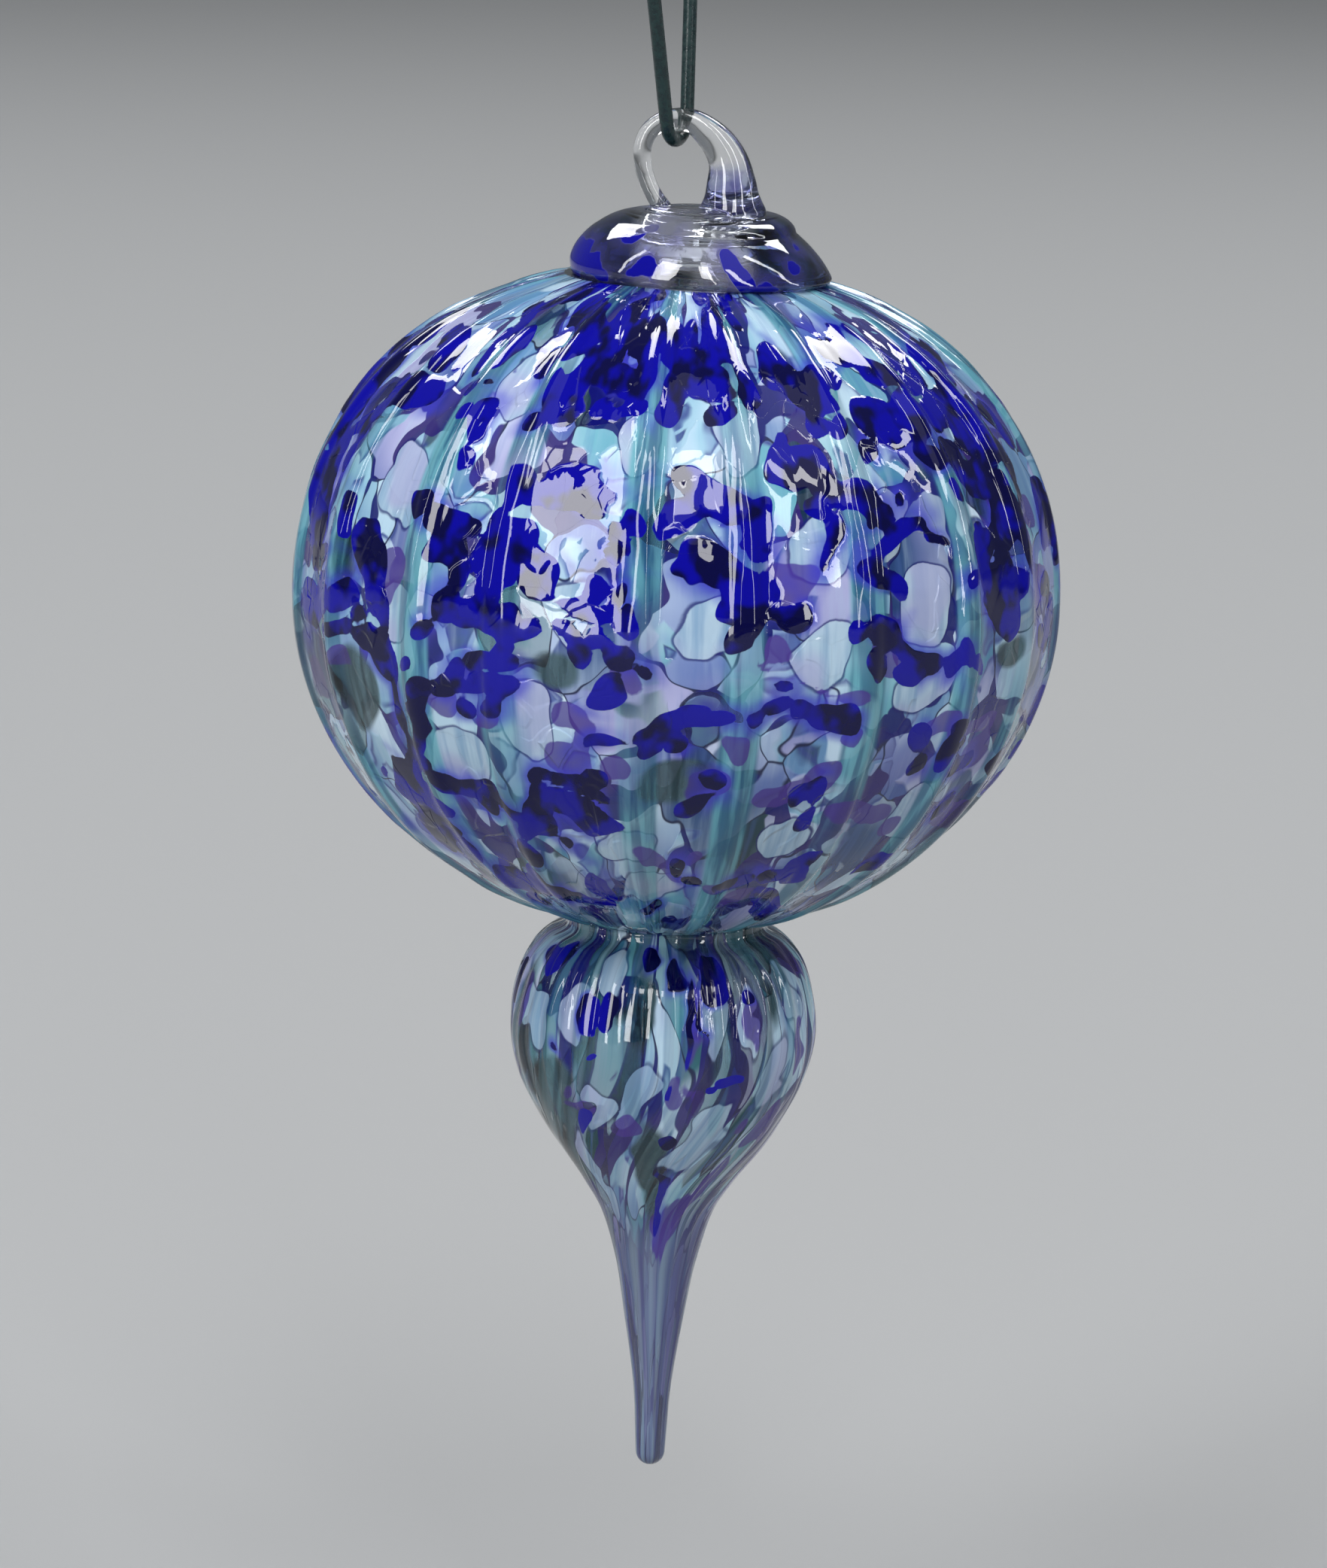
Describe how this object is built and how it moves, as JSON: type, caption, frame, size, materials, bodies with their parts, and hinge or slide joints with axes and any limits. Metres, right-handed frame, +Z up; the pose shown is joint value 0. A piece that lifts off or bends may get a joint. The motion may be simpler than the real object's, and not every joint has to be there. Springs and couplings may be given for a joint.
{
  "type": "glass ball ornament",
  "caption": "Ribbed hollow glass ball with a drop finial, a shoulder dome and a clear glass loop, hanging on a coated wire hook.",
  "frame": {"origin": "seat of the hook's upper crook, where it rests on a branch", "axes": "+Z up along the hanging line, -Y towards the front, +X to the right seen from the front"},
  "size_m": [0.0806, 0.0807, 0.1929],
  "materials": {
    "frit_glass": "glossy, powder blue with cobalt and violet chips",
    "dome_glass": "glossy, clear with cobalt patches",
    "clear_glass": "glossy, colourless",
    "streaked_glass": "glossy, aqua, cobalt and violet streaks",
    "steel_wire": "drawn wire",
    "green_coating": "semi-gloss"
  },
  "bodies": {
    "hook": {"hook_core": "steel_wire", "hook_coating": "green_coating"},
    "ornament": {"ball_shell": "frit_glass", "shoulder_dome": "dome_glass", "seal_plug": "clear_glass", "loop_foot": "clear_glass", "hanging_loop": "clear_glass", "finial_bulb": "streaked_glass", "finial_spike": "streaked_glass"}
  },
  "joints": [
    {"name": "ornament_swing", "type": "hinge", "parent": "hook", "child": "ornament", "pos_m": [0, 0, -0.04562], "axis": [1, 0, 0], "range_deg": [-70, 70]}
  ]
}
